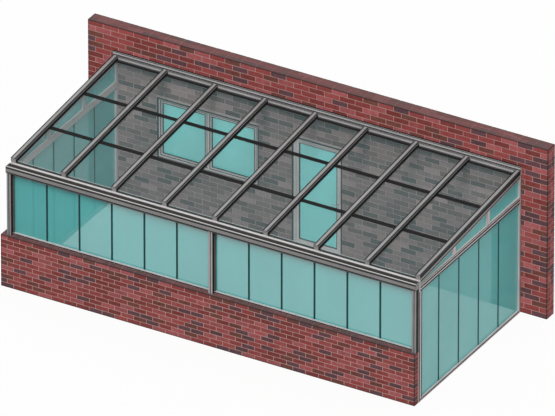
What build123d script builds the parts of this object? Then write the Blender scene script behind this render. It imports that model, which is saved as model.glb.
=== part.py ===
from build123d import *
import os
from math import cos, radians, sin, tan

# A lean-to veranda of aluminium and glass against a brick house wall.
# Units are millimetres. X runs along the house wall, Y points at the house, Z is up.
# The origin is at floor level under the centre of the whole part.
# The word "out" is a distance in front of the house wall's outer face.

# House wall
wall_overrun = 515
house_wall_height = 3320
house_wall_thickness = 240

# Window in the house wall
window_centre = -2150
window_width = 2010
window_height = 1190
window_sill_height = 978
window_setback = 25
window_frame_depth = 70
window_frame_width = 54
window_mullion_width = 44
sash_width = 37
sash_depth = 50
sash_stand_back = 8
house_pane_thickness = 24
pane_gasket_width = 20
pane_gasket_thickness = 4
sash_line_width = 12
reveal_seal_width = 22
reveal_seal_thickness = 20

# Door in the house wall
door_centre = 5
door_width = 985
door_height = 2170
door_setback = 22
door_frame_width = 44
door_lip_depth = 16
door_lip_overlap = 14
leaf_thickness = 58
leaf_gap = 9
leaf_lip_gap = 5
leaf_stile_width = 62
leaf_bottom_rail = 110
threshold_height = 30
hinge_count = 3
hinge_radius = 8
hinge_length = 50
hinge_running_gap = 0.3
hinge_axis_stand_off = 9
hinge_plate_width = 34
hinge_plate_thickness = 3
handle_height = 1050
handle_length = 125
handle_radius = 9
handle_projection = 50
handle_rose_radius = 18
handle_rose_thickness = 8

# Low brick wall under the front glazing
low_wall_height = 1010
low_wall_thickness = 240
low_wall_overrun = 105
low_wall_ahead_of_posts = 41

# Posts of the front
veranda_width = 8010
post_front = 3604
post_width = 80
post_depth = 110
post_groove_width = 12
post_groove_depth = 6
post_channel_depth = 3
post_channel_set_back = 6
post_channel_width = 80
seal_recess = 2

# Front glazing over the low wall
front_panes_per_unit = 6
front_pane_behind_post = 86
front_sill_height = 41
front_sill_ahead_of_pane = 23
front_sill_behind_pane = 27
front_sill_groove_bottom = 3
front_sill_groove_height = 20
front_sill_groove_depth = 6
front_head_height = 70
front_jamb_width = 28
pane_thickness = 10
pane_slot_depth = 12
pane_joint_gap = 6
pane_joint_width = 32
pane_joint_lip = 2

# Gutter along the eaves
gutter_front = 3630
gutter_height = 127
gutter_seat = 80
gutter_wall = 8
gutter_line_depth = 4
gutter_upper_line = 12
gutter_upper_line_height = 26
gutter_lower_line = 7
gutter_lower_line_height = 18
gutter_liner_thickness = 4
gutter_liner_drop = 5
gutter_liner_ribs = 5
gutter_rib_pitch = 14
gutter_rib_height = 5
gutter_rib_depth = 3
gutter_lip_width = 24
gutter_lip_height = 14
gutter_trough_width = 98
gutter_trough_depth = 82
gutter_corner_radius = 6
gutter_end_thickness = 4

# Roof: rafters stand above the panes, which lie in slots low in the rafters' sides
roof_pitch = 5.35
roof_height_at_wall = 2795
bay_count = 8
rafter_width = 96
rafter_depth = 104
rafter_front = 3462
rafter_foot_width = 100
rafter_channel_top = 22
rafter_channel_height = 54
rafter_channel_depth = 3
cap_width = 52
cap_height = 16
cap_edge_height = 8
cap_seal_width = 12
cap_seal_height = 5
rafter_gasket_height = 46
rafter_gasket_thickness = 5
rafter_gasket_foot = 13
rafter_gasket_foot_height = 7
roof_pane_depth = 84
roof_pane_thickness = 10
roof_slot_depth = 12
roof_pane_side_gap = 4
roof_pane_rows = 3
glazing_bar_width = 80
glazing_bar_height = 12
glazing_bar_web = 8
glazing_bar_foot_width = 40
glazing_bar_foot_height = 6
glazing_bar_lines = 4
bar_line_width = 5
bar_line_depth = 4
eaves_seal_width = 44
flashing_width = 26
flashing_lines = 1
flashing_seal_width = 52
flashing_seal_height = 9

# Wall ledger that the rafters' upper ends butt against
ledger_top = 2856
ledger_thickness = 30
ledger_lines = ((9, 20), (53, 72), (79, 88), (97, 104))
ledger_line_depth = 12
ledger_bead_depth = 26
ledger_bead_height = 6

# Glazed side walls
side_frame_depth = 80
side_wall_jamb_width = 50
side_front_jamb_width = 36
side_jamb_cover_width = 60
side_jamb_cover_thickness = 18
side_jamb_line_width = 24
side_wall_line_width = 14
side_jamb_line_inset = 3
side_pane_count = 5
side_pane_setback = 28
side_sill_height = 61
side_sill_line = (20, 44)
side_groove_depth = 5
transom_bottom = 2149
transom_top = 2278
transom_lines = ((2153, 2181), (2209, 2239), (2262, 2274))
gable_mullion_width = 73
gable_bay_count = 3
gable_head_height = 50
gable_line_drop = 10
gable_line_height = 28
gable_pane_setback = 35

# Sizes that follow from the ones above
house_wall_length = veranda_width + 2 * wall_overrun
low_wall_front = post_front + low_wall_ahead_of_posts
low_wall_back = low_wall_front - low_wall_thickness
whole_depth = low_wall_front + house_wall_thickness
house_face = whole_depth / 2 - house_wall_thickness
half_width = veranda_width / 2
half_wall = house_wall_length / 2
post_back = post_front - post_depth
pitch = radians(roof_pitch)
roof_plane = Plane(
    origin=(0, house_face, roof_height_at_wall),
    x_dir=(1, 0, 0),
    z_dir=(0, -sin(pitch), cos(pitch)),
)
pane_top = -roof_pane_depth
pane_bottom = pane_top - roof_pane_thickness
rafter_upper = (ledger_thickness + rafter_depth * sin(pitch)) / cos(pitch)
rafter_lower = rafter_front / cos(pitch)
gutter_top = roof_height_at_wall - rafter_depth / cos(pitch) - rafter_front * tan(pitch)
eaves_underside = gutter_top - gutter_height
gutter_back = rafter_front - gutter_seat
front_pane_face = post_front - front_pane_behind_post
post_places = (-half_width + post_width / 2, 0, half_width - post_width / 2)


def block(x_range, out_range, z_range):
    """A plain block between two distances along X, out from the house and in height."""
    x0, x1 = x_range
    out0, out1 = out_range
    z0, z1 = z_range
    place = Pos((x0 + x1) / 2, house_face - (out0 + out1) / 2, (z0 + z1) / 2)
    return place * Box(x1 - x0, out1 - out0, z1 - z0)


def roof_block(x_range, down_range, n_range):
    """A block in the sloping roof plane: along X, down the slope and above the rafter tops."""
    x0, x1 = x_range
    down0, down1 = down_range
    n0, n1 = n_range
    place = Pos((x0 + x1) / 2, -(down0 + down1) / 2, (n0 + n1) / 2)
    return roof_plane * place * Box(x1 - x0, down1 - down0, n1 - n0)


def section_along_x(points, x_range):
    """A section drawn as (out, height) points and run along X."""
    x0, x1 = x_range
    outline = [(house_face - out, z) for out, z in points]
    face = make_face(Polyline(*outline, close=True))
    return extrude(Plane.YZ.offset(x0) * face, amount=x1 - x0)


def section_upright(points, z_range):
    """A plan drawn as (x, out) points and run upwards."""
    z0, z1 = z_range
    outline = [(x, house_face - out) for x, out in points]
    face = make_face(Polyline(*outline, close=True))
    return extrude(Plane.XY.offset(z0) * face, amount=z1 - z0)


def down_slope_plane(x, upper):
    """The plane across the roof that a section is drawn on before it is run down the slope."""
    return Plane(
        origin=roof_plane.from_local_coords((x, -upper, 0)),
        x_dir=(1, 0, 0),
        z_dir=(0, -cos(pitch), -sin(pitch)),
    )


def section_down_slope(points, x, upper, lower):
    """A section drawn as (x, height over the rafter tops) points and run down the slope."""
    face = make_face(Polyline(*points, close=True))
    return extrude(down_slope_plane(x, upper) * face, amount=lower - upper)


def mirrored(shape):
    """The same piece on the other end of the veranda."""
    return mirror(shape, about=Plane.YZ)


def roof_underside(out):
    """Height of the rafters' underside at a distance out from the house."""
    return roof_height_at_wall - rafter_depth / cos(pitch) - out * tan(pitch)


def write(name, *solids):
    """Write one node: its solids lie side by side in one file."""
    node = solids[0] if len(solids) == 1 else Compound(children=list(solids))
    export_step(node, f"parts/{name}.step")


def house_wall():
    """The brick wall, cut into plain slabs round the window and the door."""
    window = (window_centre - window_width / 2, window_centre + window_width / 2)
    door = (door_centre - door_width / 2, door_centre + door_width / 2)
    body = (-house_wall_thickness, 0)
    window_top = window_sill_height + window_height
    write("house_wall_left", block((-half_wall, window[0]), body, (0, house_wall_height)))
    write("house_wall_under_window", block(window, body, (0, window_sill_height)))
    write("house_wall_over_window", block(window, body, (window_top, house_wall_height)))
    write("house_wall_between", block((window[1], door[0]), body, (0, house_wall_height)))
    write("house_wall_over_door", block(door, body, (door_height, house_wall_height)))
    write("house_wall_right", block((door[1], half_wall), body, (0, house_wall_height)))


def ring(x_range, out_range, z_range, widths):
    """A rectangular frame; widths are its left, right, bottom and top members."""
    left, right, bottom, top = widths
    hole_x = (x_range[0] + left, x_range[1] - right)
    hole_z = (z_range[0] + bottom, z_range[1] - top)
    return block(x_range, out_range, z_range) - block(hole_x, out_range, hole_z)


def house_window():
    """A frame with a mullion, and a fixed sash with a double pane on each side of it."""
    x_range = (window_centre - window_width / 2, window_centre + window_width / 2)
    z_range = (window_sill_height, window_sill_height + window_height)
    frame_out = (-window_setback - window_frame_depth, -window_setback)
    frame = ring(x_range, frame_out, z_range, [window_frame_width] * 4)
    inner_z = (z_range[0] + window_frame_width, z_range[1] - window_frame_width)
    half_mullion = window_mullion_width / 2
    frame += block((window_centre - half_mullion, window_centre + half_mullion), frame_out, inner_z)
    write("window_frame", frame)

    sash_front = frame_out[1] - sash_stand_back
    sash_out = (sash_front - sash_depth, sash_front)
    pane_middle = (sash_out[0] + sash_out[1]) / 2
    pane_out = (pane_middle - house_pane_thickness / 2, pane_middle + house_pane_thickness / 2)
    sashes, panes = [], []
    seal_out = (-window_setback, -window_setback + reveal_seal_thickness)
    seals = [ring(x_range, seal_out, z_range, [reveal_seal_width] * 4)]
    line_out = (sash_front, sash_front + pane_gasket_thickness)
    gasket_out = (pane_out[1], pane_out[1] + pane_gasket_thickness)
    for low, high in (
        (x_range[0] + window_frame_width, window_centre - half_mullion),
        (window_centre + half_mullion, x_range[1] - window_frame_width),
    ):
        sashes.append(ring((low, high), sash_out, inner_z, [sash_width] * 4))
        pane_z = (inner_z[0] + sash_width, inner_z[1] - sash_width)
        pane_x = (low + sash_width, high - sash_width)
        panes.append(block(pane_x, pane_out, pane_z))
        seals.append(ring((low, high), line_out, inner_z, [sash_line_width] * 4))
        seals.append(ring(pane_x, gasket_out, pane_z, [pane_gasket_width] * 4))
    write("window_sashes", *sashes)
    write("window_panes", *panes)
    write("window_seals", *seals)


def hinge_knuckle(axis_x, axis_out, z_range, side, gap):
    """Half a butt hinge: a barrel on the axis and its screwed plate on one side."""
    height = z_range[1] - z_range[0]
    centre = Pos(axis_x, house_face - axis_out, (z_range[0] + z_range[1]) / 2)
    barrel = centre * Cylinder(hinge_radius, height)
    plate_out = (
        axis_out + hinge_axis_stand_off - hinge_plate_thickness,
        axis_out + hinge_axis_stand_off,
    )
    reach = sorted((axis_x + side * gap, axis_x + side * (gap + hinge_plate_width)))
    return barrel + block(reach, plate_out, z_range)


def house_door():
    """A glazed door that opens inwards on three butt hinges."""
    x_range = (door_centre - door_width / 2, door_centre + door_width / 2)
    leaf_front = -door_setback - door_lip_depth - leaf_lip_gap
    leaf_out = (leaf_front - leaf_thickness, leaf_front)
    frame_out = (leaf_out[0], -door_setback)
    lip_out = (-door_setback - door_lip_depth, -door_setback)
    leaf_x = (x_range[0] + door_frame_width + leaf_gap, x_range[1] - door_frame_width - leaf_gap)
    leaf_z = (threshold_height + leaf_gap, door_height - door_frame_width - leaf_gap)

    bottom_open = [door_frame_width, door_frame_width, threshold_height, door_frame_width]
    frame = ring(x_range, frame_out, (0, door_height), bottom_open)
    lip_width = door_frame_width + leaf_gap + door_lip_overlap
    lip_bottom = threshold_height + leaf_gap + door_lip_overlap
    frame += ring(x_range, lip_out, (0, door_height), [lip_width, lip_width, lip_bottom, lip_width])

    leaf_widths = [leaf_stile_width, leaf_stile_width, leaf_bottom_rail, leaf_stile_width]
    leaf = ring(leaf_x, leaf_out, leaf_z, leaf_widths)
    axis_x = leaf_x[0]
    axis_out = leaf_out[0] - hinge_axis_stand_off
    spacing = (leaf_z[1] - leaf_z[0]) / hinge_count
    for index in range(hinge_count):
        middle = leaf_z[0] + spacing * (index + 0.5)
        lower = (middle - hinge_length, middle)
        upper = (middle + hinge_running_gap, middle + hinge_length)
        frame += hinge_knuckle(axis_x, axis_out, lower, -1, hinge_radius / 2)
        leaf += hinge_knuckle(axis_x, axis_out, upper, 1, hinge_radius / 2)
    write("door_frame", frame)
    write("door_leaf", leaf)

    pane_x = (leaf_x[0] + leaf_stile_width, leaf_x[1] - leaf_stile_width)
    pane_z = (leaf_z[0] + leaf_bottom_rail, leaf_z[1] - leaf_stile_width)
    middle = (leaf_out[0] + leaf_out[1]) / 2
    pane_out = (middle - house_pane_thickness / 2, middle + house_pane_thickness / 2)
    gasket_out = (pane_out[1], pane_out[1] + pane_gasket_thickness)
    write("door_pane", block(pane_x, pane_out, pane_z))
    write("door_pane_seal", ring(pane_x, gasket_out, pane_z, [pane_gasket_width] * 4))
    seal_out = (-door_setback, -door_setback + reveal_seal_thickness)
    seal = block(x_range, seal_out, (0, door_height))
    seal_inner = (x_range[0] + reveal_seal_width, x_range[1] - reveal_seal_width)
    seal -= block(seal_inner, seal_out, (0, door_height - reveal_seal_width))
    write("door_frame_seal", seal)

    handles = []
    handle_x = leaf_x[1] - (leaf_stile_width + door_lip_overlap) / 2
    for face, way in ((leaf_out[1], 1), (leaf_out[0], -1)):
        handles.append(door_handle(handle_x, face, way))
    write("door_handles", *handles)


def door_handle(x, face_out, way):
    """A lever on a round rose; way is 1 on the outer face and -1 on the inner one."""
    turn = Rot(90, 0, 0)
    rose_out = face_out + way * handle_rose_thickness / 2
    neck_out = face_out + way * handle_projection / 2
    lever_out = face_out + way * handle_projection
    rose = Pos(x, house_face - rose_out, handle_height) * turn
    neck = Pos(x, house_face - neck_out, handle_height) * turn
    lever = Pos(x - handle_length / 2, house_face - lever_out, handle_height) * Rot(0, 90, 0)
    handle = rose * Cylinder(handle_rose_radius, handle_rose_thickness)
    handle += neck * Cylinder(handle_radius, handle_projection)
    handle += lever * Cylinder(handle_radius, handle_length)
    handle += Pos(x, house_face - lever_out, handle_height) * Sphere(handle_radius)
    handle += Pos(x - handle_length, house_face - lever_out, handle_height) * Sphere(handle_radius)
    return handle


def low_wall():
    """The low brick wall, cut back at both ends for the side walls' frames."""
    inner = half_width - side_frame_depth
    left_end = -half_width - low_wall_overrun
    plan = [
        (left_end, low_wall_back),
        (-half_width, low_wall_back),
        (-half_width, post_back),
        (-inner, post_back),
        (-inner, low_wall_back),
        (inner, low_wall_back),
        (inner, post_back),
        (half_width, post_back),
        (half_width, low_wall_front),
        (left_end, low_wall_front),
    ]
    write("low_wall", section_upright(plan, (0, low_wall_height)))


def post(x_centre):
    """A post with a groove down its front face and a shallow channel down each side."""
    z_range = (low_wall_height, eaves_underside)
    half = post_width / 2
    solid = block((x_centre - half, x_centre + half), (post_back, post_front), z_range)
    solid -= post_groove(x_centre, post_groove_depth, z_range)
    for x_range in post_channels(x_centre):
        solid -= block(x_range, post_channel_out(), z_range)
    return solid


def post_groove(x_centre, depth, z_range):
    """The space of a post's front groove, measured from its back."""
    half = post_groove_width / 2
    back = post_front - post_groove_depth
    return block((x_centre - half, x_centre + half), (back, back + depth), z_range)


def post_channels(x_centre):
    """The two side channels of a post, along X."""
    half = post_width / 2
    inner = half - post_channel_depth
    return (x_centre - half, x_centre - inner), (x_centre + inner, x_centre + half)


def post_channel_out():
    """Where the side channels lie behind a post's front face."""
    front = post_front - post_channel_set_back
    return front - post_channel_width, front


def post_seals(x_centre):
    """The dark seals in a post's groove and side channels."""
    z_range = (low_wall_height, eaves_underside)
    seals = [post_groove(x_centre, post_groove_depth - seal_recess, z_range)]
    seals += [block(x_range, post_channel_out(), z_range) for x_range in post_channels(x_centre)]
    return seals


def front_units():
    """The two glazed units of the front, each between a corner post and the middle post."""
    clear_half = half_width - post_width
    units = [(-clear_half, -post_width / 2), (post_width / 2, clear_half)]
    sill_out = (
        front_pane_face - pane_thickness - front_sill_behind_pane,
        front_pane_face + front_sill_ahead_of_pane,
    )
    pane_out = (front_pane_face - pane_thickness, front_pane_face)
    sill_z = (low_wall_height, low_wall_height + front_sill_height)
    head_z = (eaves_underside - front_head_height, eaves_underside)
    pane_z = (sill_z[1] - pane_slot_depth, head_z[0] + pane_slot_depth)
    slot_bottom = (pane_z[0], sill_z[1])
    slot_top = (head_z[0], pane_z[1])
    groove_z = (
        low_wall_height + front_sill_groove_bottom,
        low_wall_height + front_sill_groove_bottom + front_sill_groove_height,
    )
    groove_back = sill_out[1] - front_sill_groove_depth
    sills, heads, jambs, joints = [], [], [], []
    seals = []
    for x_centre in post_places:
        seals += post_seals(x_centre)
    for side, (low, high) in zip(("left", "right"), units):
        clear = (low + front_jamb_width, high - front_jamb_width)
        sill = block((low, high), sill_out, sill_z) - block(clear, pane_out, slot_bottom)
        sills.append(sill - block((low, high), (groove_back, sill_out[1]), groove_z))
        seals.append(block((low, high), (groove_back, sill_out[1] - seal_recess), groove_z))
        heads.append(block((low, high), sill_out, head_z) - block(clear, pane_out, slot_top))
        for jamb_x in ((low, clear[0]), (clear[1], high)):
            jambs.append(block(jamb_x, sill_out, (sill_z[1], head_z[0])))
        seal_z = (sill_z[1], head_z[0])
        panes, strips = pane_row(clear, front_panes_per_unit, pane_out, pane_z, seal_z)
        write(f"front_panes_{side}", *panes)
        joints.extend(strips)
    write("front_sills", *sills)
    write("front_heads", *heads)
    write("front_jambs", *jambs)
    write("front_pane_joints", *joints)
    write("front_seals", *seals)


def pane_row(run, count, across, pane_z, seal_z, along_x=True):
    """Equal panes in one plane, with an H-shaped seal over each joint between them."""
    step = (run[1] - run[0] + pane_joint_gap) / count
    lips = (across[0] - pane_joint_lip, across[1] + pane_joint_lip)
    panes, seals = [], []
    for index in range(count):
        start = run[0] + index * step
        panes.append(upright(along_x, (start, start + step - pane_joint_gap), across, pane_z))
        if index == 0:
            continue
        middle = start - pane_joint_gap / 2
        outer = (middle - pane_joint_width / 2, middle + pane_joint_width / 2)
        web = (middle - pane_joint_gap / 2, middle + pane_joint_gap / 2)
        seal = upright(along_x, outer, lips, seal_z) - upright(along_x, outer, across, seal_z)
        seals.append(seal + upright(along_x, web, across, seal_z))
    return panes, seals


def upright(along_x, run, across, z_range):
    """A block whose long way is X in the front, or out from the house in a side wall."""
    return block(run, across, z_range) if along_x else block(across, run, z_range)


def gutter():
    """The eaves gutter: one section with a front lip, a trough and a flange for the rafters."""
    lip_inner = gutter_front - gutter_lip_width
    trough_back = lip_inner - gutter_trough_width
    floor = gutter_top - gutter_trough_depth
    outline = [
        (gutter_back, eaves_underside),
        (gutter_front, eaves_underside),
        (gutter_front, gutter_top),
        (lip_inner, gutter_top),
        (lip_inner, gutter_top - gutter_lip_height),
        (gutter_front - gutter_wall, gutter_top - gutter_lip_height),
        (gutter_front - gutter_wall, floor),
        (trough_back, floor),
        (trough_back, gutter_top),
        (rafter_front, gutter_top),
        (gutter_back, roof_underside(gutter_back)),
    ]
    body = section_along_x(outline, (-half_width, half_width))
    notch = block(
        (half_width - side_frame_depth, half_width),
        (gutter_back, post_back),
        (eaves_underside, roof_underside(gutter_back)),
    )
    body = body - notch - mirrored(notch)
    edge = body.edges().filter_by(Axis.X).sort_by_distance(
        (0, house_face - gutter_front, eaves_underside)
    )[0]
    body = fillet(edge, gutter_corner_radius)
    lines = []
    line_out = (gutter_front - gutter_line_depth, gutter_front)
    upper_line = gutter_top - gutter_upper_line - gutter_upper_line_height
    for bottom, height in (
        (eaves_underside + gutter_lower_line, gutter_lower_line_height),
        (upper_line, gutter_upper_line_height),
    ):
        lines.append(block((-half_width, half_width), line_out, (bottom, bottom + height)))
        body -= lines[-1]
    write("gutter", body)
    write("gutter_seals", *lines, gutter_liner(trough_back, floor))
    ends = []
    for way in (-1, 1):
        low, high = sorted((way * half_width, way * (half_width + gutter_end_thickness)))
        plate = block((low, high), (post_back, gutter_front), (eaves_underside, gutter_top))
        corner = plate.edges().filter_by(Axis.X).sort_by_distance(
            (low, house_face - gutter_front, eaves_underside)
        )[0]
        ends.append(fillet(corner, gutter_corner_radius))
    write("gutter_ends", *ends)


def gutter_liner(back, floor):
    """A dark lining on the trough's back wall and floor, finely ribbed along its length."""
    x_range = (-half_width, half_width)
    inner = back + gutter_liner_thickness
    top = gutter_top - gutter_liner_drop
    liner = block(x_range, (back, inner), (floor, top))
    bottom = (floor, floor + gutter_liner_thickness)
    liner += block(x_range, (inner, gutter_front - gutter_wall), bottom)
    for index in range(gutter_liner_ribs):
        rib_top = top - index * gutter_rib_pitch
        rib_z = (rib_top - gutter_rib_height, rib_top)
        liner += block(x_range, (inner, inner + gutter_rib_depth), rib_z)
    return liner


def rafter_places():
    """Centre lines of the rafters, the outer ones flush with the side walls."""
    outer = half_width - rafter_foot_width / 2
    step = 2 * outer / bay_count
    return [-outer + step * index for index in range(bay_count + 1)]


def rafter_side(has_slot):
    """One side of a rafter from its shoulder down, as (distance from the middle, height) points."""
    half = rafter_width / 2
    foot = rafter_foot_width / 2
    if not has_slot:
        channel_bottom = -rafter_channel_top - rafter_channel_height
        return [
            (half, -cap_height),
            (half, -rafter_channel_top),
            (foot, -rafter_channel_top),
            (foot - rafter_channel_depth, -rafter_channel_top),
            (foot - rafter_channel_depth, channel_bottom),
            (foot, channel_bottom),
            (foot, -rafter_depth),
        ]
    slot = half - roof_slot_depth
    return [
        (half, -cap_height),
        (half, pane_top),
        (slot, pane_top),
        (slot, pane_bottom),
        (foot, pane_bottom),
        (foot, -rafter_depth),
    ]


def rafter_section(slots):
    """The whole section; slots says whether the left and the right side hold a pane."""
    left = [(-x, n) for x, n in rafter_side(slots[0])]
    return rafter_side(slots[1]) + left[::-1]


def rafters():
    """The rafters, and the rounded caps over them."""
    beams, caps = [], []
    for index, x in enumerate(rafter_places()):
        section = rafter_section((index > 0, index < bay_count))
        beams.append(section_down_slope(section, x, rafter_upper, rafter_lower))
        caps.append(rafter_cap(x))
    write("rafters", *beams)
    write("rafter_caps", *caps)


def rafter_cap(x):
    """A cap with upright edges and a rounded top."""
    half = cap_width / 2
    edge = cap_edge_height - cap_height
    foot = Polyline((-half, edge), (-half, -cap_height), (half, -cap_height), (half, edge))
    crown = ThreePointArc((half, edge), (0, 0), (-half, edge))
    place = down_slope_plane(x, rafter_upper)
    return extrude(place * make_face([foot, crown]), amount=rafter_lower - rafter_upper)


def cap_seals(x):
    """The two dark strips on a rafter's shoulders, one along each of their outer edges."""
    half = rafter_width / 2
    down = (rafter_upper, rafter_lower)
    strip_n = (-cap_height, cap_seal_height - cap_height)
    return [
        roof_block((x + half - cap_seal_width, x + half), down, strip_n),
        roof_block((x - half, x - half + cap_seal_width), down, strip_n),
    ]


def rafter_gasket(edge, way):
    """The dark gasket of one pane edge: up the rafter's side and out over the glass."""
    upright_x = sorted((edge, edge + way * rafter_gasket_thickness))
    foot_x = sorted((edge, edge + way * rafter_gasket_foot))
    down = (rafter_upper, rafter_lower)
    gasket = roof_block(upright_x, down, (pane_top, pane_top + rafter_gasket_height))
    return gasket + roof_block(foot_x, down, (pane_top, pane_top + rafter_gasket_foot_height))


def end_rafter_seal(way):
    """The dark seal in the outer side of an end rafter."""
    outer = way * half_width
    inner = outer - way * rafter_channel_depth
    channel_bottom = -rafter_channel_top - rafter_channel_height
    down = (rafter_upper, rafter_lower)
    return roof_block(sorted((inner, outer)), down, (channel_bottom, -rafter_channel_top))


def bays():
    """The clear width between the rafters of each bay."""
    places = rafter_places()
    half = rafter_width / 2
    return [(left + half, right - half) for left, right in zip(places, places[1:])]


def roof_glass():
    """Panes in rows between the rafters, dark bars over the joints, and flashings at the ledger."""
    row = (rafter_lower - rafter_upper) / roof_pane_rows
    half_web = glazing_bar_web / 2
    reach = roof_slot_depth - roof_pane_side_gap
    panes, bars, flashings = [], [], []
    seals = [end_rafter_seal(-1), end_rafter_seal(1)]
    for x in rafter_places():
        seals += cap_seals(x)
    for clear in bays():
        seals += [rafter_gasket(clear[0], 1), rafter_gasket(clear[1], -1)]
        between = (clear[0] + rafter_gasket_foot, clear[1] - rafter_gasket_foot)
        pane_x = (clear[0] - reach, clear[1] + reach)
        for index in range(roof_pane_rows):
            top = rafter_upper + index * row + (half_web if index else 0)
            bottom = rafter_upper + (index + 1) * row
            if index < roof_pane_rows - 1:
                bars.append(glazing_bar(between, clear, bottom))
                bottom -= half_web
            panes.append(roof_block(pane_x, (top, bottom), (pane_bottom, pane_top)))
        bar_n = (pane_top, pane_top + glazing_bar_height)
        foot = (clear[0] + foot_step(), clear[1] - foot_step())
        flashing_end = rafter_upper + flashing_width
        flashings.append(ribbed(between, (rafter_upper, flashing_end), bar_n, flashing_lines))
        flashing_seal_down = (flashing_end, flashing_end + flashing_seal_width)
        flashing_seal_n = (pane_top, pane_top + flashing_seal_height)
        seals.append(roof_block(between, flashing_seal_down, flashing_seal_n))
        seal_down = (rafter_lower - eaves_seal_width, rafter_lower)
        seals.append(roof_block(foot, seal_down, (-rafter_depth, pane_bottom)))
    write("roof_panes", *panes)
    write("glazing_bars", *bars)
    write("ledger_flashings", *flashings)
    write("roof_seals", *seals)


def foot_step():
    """How far a rafter's foot stands out past its side."""
    return (rafter_foot_width - rafter_width) / 2


def glazing_bar(between, clear, down):
    """An H-shaped bar across one bay: a ribbed top, a web between panes and a foot."""
    wide = (down - glazing_bar_width / 2, down + glazing_bar_width / 2)
    web = (down - glazing_bar_web / 2, down + glazing_bar_web / 2)
    foot = (down - glazing_bar_foot_width / 2, down + glazing_bar_foot_width / 2)
    inner = (clear[0] + foot_step(), clear[1] - foot_step())
    bar = ribbed(between, wide, (pane_top, pane_top + glazing_bar_height), glazing_bar_lines)
    bar += roof_block(inner, web, (pane_bottom, pane_top))
    return bar + roof_block(inner, foot, (pane_bottom - glazing_bar_foot_height, pane_bottom))


def ribbed(x_range, down_range, n_range, lines):
    """A flat bar in the roof plane with fine grooves along its length."""
    bar = roof_block(x_range, down_range, n_range)
    step = (down_range[1] - down_range[0]) / (lines + 1)
    top = n_range[1]
    half = bar_line_width / 2
    for index in range(lines):
        line = down_range[0] + step * (index + 1)
        bar -= roof_block(x_range, (line - half, line + half), (top - bar_line_depth, top))
    return bar


def ledger():
    """The wall ledger with dark seals in its grooves, and a bead of mastic on its top."""
    x_range = (-half_width, half_width)
    body = block(x_range, (0, ledger_thickness), (roof_underside(0), ledger_top))
    groove_floor = ledger_thickness - ledger_line_depth
    bead_z = (ledger_top, ledger_top + ledger_bead_height)
    seals = [block(x_range, (0, ledger_bead_depth), bead_z)]
    for upper, lower in ledger_lines:
        line_z = (ledger_top - lower, ledger_top - upper)
        body -= block(x_range, (groove_floor, ledger_thickness), line_z)
        seals.append(block(x_range, (groove_floor, ledger_thickness - seal_recess), line_z))
    write("wall_ledger", body)
    write("ledger_seals", *seals)


def side_walls():
    """The right side wall is drawn, and the left one is its mirror image."""
    for name, solids in right_side().items():
        write(f"right_{name}", *solids)
        write(f"left_{name}", *[mirrored(solid) for solid in solids])


def right_side():
    """Frame, panes and joints of the right side wall, by name."""
    outer = half_width
    inner = half_width - side_frame_depth
    depth = (inner, outer)
    run = (side_wall_jamb_width, post_back - side_front_jamb_width)
    pane_x = (outer - side_pane_setback - pane_thickness, outer - side_pane_setback)
    gable_x = (outer - gable_pane_setback - pane_thickness, outer - gable_pane_setback)
    pane_z = (side_sill_height - pane_slot_depth, transom_bottom + pane_slot_depth)

    sill = block(depth, run, (0, side_sill_height))
    sill -= block(pane_x, run, (pane_z[0], side_sill_height))
    groove_x = (outer - side_groove_depth, outer)
    seal_x = (outer - side_groove_depth, outer - seal_recess)
    sill -= block(groove_x, run, side_sill_line)
    seals = [block(seal_x, run, side_sill_line)]
    transom = block(depth, run, (transom_bottom, transom_top))
    transom -= block(pane_x, run, (transom_bottom, pane_z[1]))
    for line in transom_lines:
        transom -= block(groove_x, run, line)
        seals.append(block(seal_x, run, line))

    wall_line = (side_jamb_line_inset, side_jamb_line_inset + side_wall_line_width)
    wall_jamb = under_roof(depth, (0, side_wall_jamb_width), 0, 0)
    wall_jamb -= under_roof(groove_x, wall_line, 0, side_jamb_line_inset)
    seals.append(under_roof(seal_x, wall_line, 0, side_jamb_line_inset))
    cover_x = (outer - side_jamb_cover_thickness, outer)
    cover_start = run[1] - side_jamb_cover_width
    cover = block(cover_x, (cover_start, run[1]), (side_sill_height, transom_bottom))
    front_jamb = under_roof(depth, (run[1], post_back), 0, 0) + cover
    inner_line = cover_start + side_jamb_line_inset
    outer_line = post_back - side_jamb_line_inset - side_jamb_line_width
    for start, bottom in ((inner_line, side_sill_height), (outer_line, 0)):
        line = (start, start + side_jamb_line_width)
        front_jamb -= block(groove_x, line, (bottom, transom_bottom))
        seals.append(block(seal_x, line, (bottom, transom_bottom)))
    jambs = [wall_jamb, front_jamb]
    panes, joints = pane_row(
        run, side_pane_count, pane_x, pane_z, (side_sill_height, transom_bottom), along_x=False
    )
    head = under_roof(depth, run, transom_top, 0) - under_roof(depth, run, transom_top, gable_head_height)
    gable_line = under_roof(groove_x, run, transom_top, gable_line_drop)
    gable_line -= under_roof(groove_x, run, transom_top, gable_line_drop + gable_line_height)
    frame = head - gable_line
    gable_seal = under_roof(seal_x, run, transom_top, gable_line_drop)
    gable_seal -= under_roof(seal_x, run, transom_top, gable_line_drop + gable_line_height)
    seals.append(gable_seal)
    third = post_back / gable_bay_count
    edges = [run[0]]
    for index in range(1, gable_bay_count):
        mullion = (third * index - gable_mullion_width, third * index)
        frame += under_roof(depth, mullion, transom_top, gable_head_height)
        edges.extend(mullion)
    edges.append(run[1])
    gable_panes = [
        under_roof(gable_x, (low, high), transom_top, gable_head_height)
        for low, high in zip(edges[::2], edges[1::2])
    ]
    return {
        "side_sill": [sill],
        "transom": [transom],
        "side_seals": seals,
        "side_jambs": jambs,
        "side_panes": panes,
        "side_pane_joints": joints,
        "gable_frame": [frame],
        "gable_panes": gable_panes,
    }


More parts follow.
